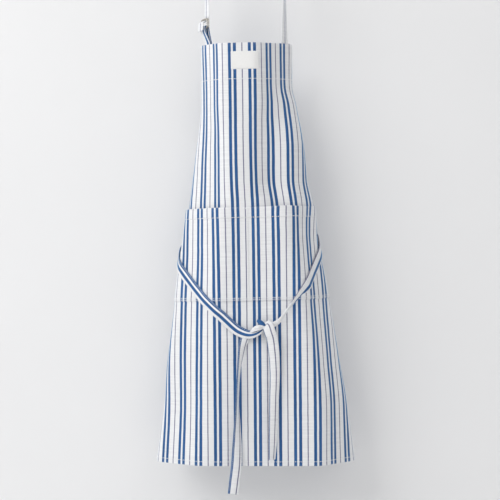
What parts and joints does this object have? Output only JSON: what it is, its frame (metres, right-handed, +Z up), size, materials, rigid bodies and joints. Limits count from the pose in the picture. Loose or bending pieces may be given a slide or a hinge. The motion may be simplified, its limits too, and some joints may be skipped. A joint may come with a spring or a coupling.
{
  "type": "butcher apron",
  "caption": "Striped canvas bib apron hung by its neck strap, with a divided front pocket and waist ties knotted in front.",
  "frame": {"origin": "underside of the neck strap's crown, on its middle, where a peg carries the apron", "axes": "+Z up, -Y out of the apron's front, +X to the right of someone who faces the apron"},
  "size_m": [0.4217, 0.1574, 1.192],
  "materials": {
    "canvas_stripe": "matt woven cotton canvas, white with paired blue stripes and a thin grey stripe",
    "label_twill": "matt cream woven label, plain",
    "thread": "white cotton sewing thread",
    "ring_metal": "plated steel wire, slightly warm"
  },
  "bodies": {
    "neck_loop": {"neck_strap_crown": "canvas_stripe", "neck_strap_left_run": "canvas_stripe", "neck_strap_right_run": "canvas_stripe"},
    "apron": {"body_panel": "canvas_stripe", "pocket_panel": "canvas_stripe", "label": "label_twill", "neck_strap_right_end": "canvas_stripe", "neck_strap_turn": "canvas_stripe", "ring_tab": "canvas_stripe", "tie_left": "canvas_stripe", "tie_right": "canvas_stripe", "tie_knot": "canvas_stripe", "bib_hem_stitch": "thread", "bottom_hem_stitch": "thread", "armhole_stitch_left": "thread", "side_stitch_left": "thread", "armhole_stitch_right": "thread", "side_stitch_right": "thread", "label_stitch_top": "thread", "label_stitch_bottom": "thread", "pocket_hem_stitch": "thread", "pocket_foot_stitch_upper": "thread", "pocket_foot_stitch_lower": "thread", "pocket_centre_stitch": "thread"},
    "strap_tail": {"neck_strap_tail": "canvas_stripe"},
    "ring_inner": {"ring_inner": "ring_metal"},
    "ring_outer": {"ring_outer": "ring_metal"},
    "tie_left_tail": {"tie_left_tail": "canvas_stripe"},
    "tie_right_tail": {"tie_right_tail": "canvas_stripe"}
  },
  "joints": [
    {"name": "neck_strap_shorten", "type": "slide", "parent": "neck_loop", "child": "apron", "axis": [0, 0, 1], "range_m": [0, 0.06], "deforming": ["neck_strap_left_run", "neck_strap_right_run"]},
    {"name": "strap_tail_slide", "type": "slide", "parent": "apron", "child": "strap_tail", "axis": [-0.1076, -0.0572, -0.9925], "range_m": [0, 0.12]},
    {"name": "ring_inner_swing", "type": "hinge", "parent": "apron", "child": "ring_inner", "pos_m": [-0.08245, -0.00065, -0.2325], "axis": [0.4695, -0.8829, 0], "range_deg": [0, 25]},
    {"name": "ring_outer_swing", "type": "hinge", "parent": "apron", "child": "ring_outer", "pos_m": [-0.08563, -0.00234, -0.2325], "axis": [0.4695, -0.8829, 0], "range_deg": [0, 25]},
    {"name": "tie_left_tail_swing", "type": "hinge", "parent": "apron", "child": "tie_left_tail", "pos_m": [-0.001, -0.05405, -0.872], "axis": [-1, 0, 0], "range_deg": [0, 75]},
    {"name": "tie_right_tail_swing", "type": "hinge", "parent": "apron", "child": "tie_right_tail", "pos_m": [0.048, -0.05405, -0.8725], "axis": [-1, 0, 0], "range_deg": [0, 75]}
  ],
  "couplings": [
    {"joint": "strap_tail_slide", "follows": "neck_strap_shorten", "ratio": 2},
    {"joint": "ring_outer_swing", "follows": "ring_inner_swing", "ratio": 1}
  ]
}
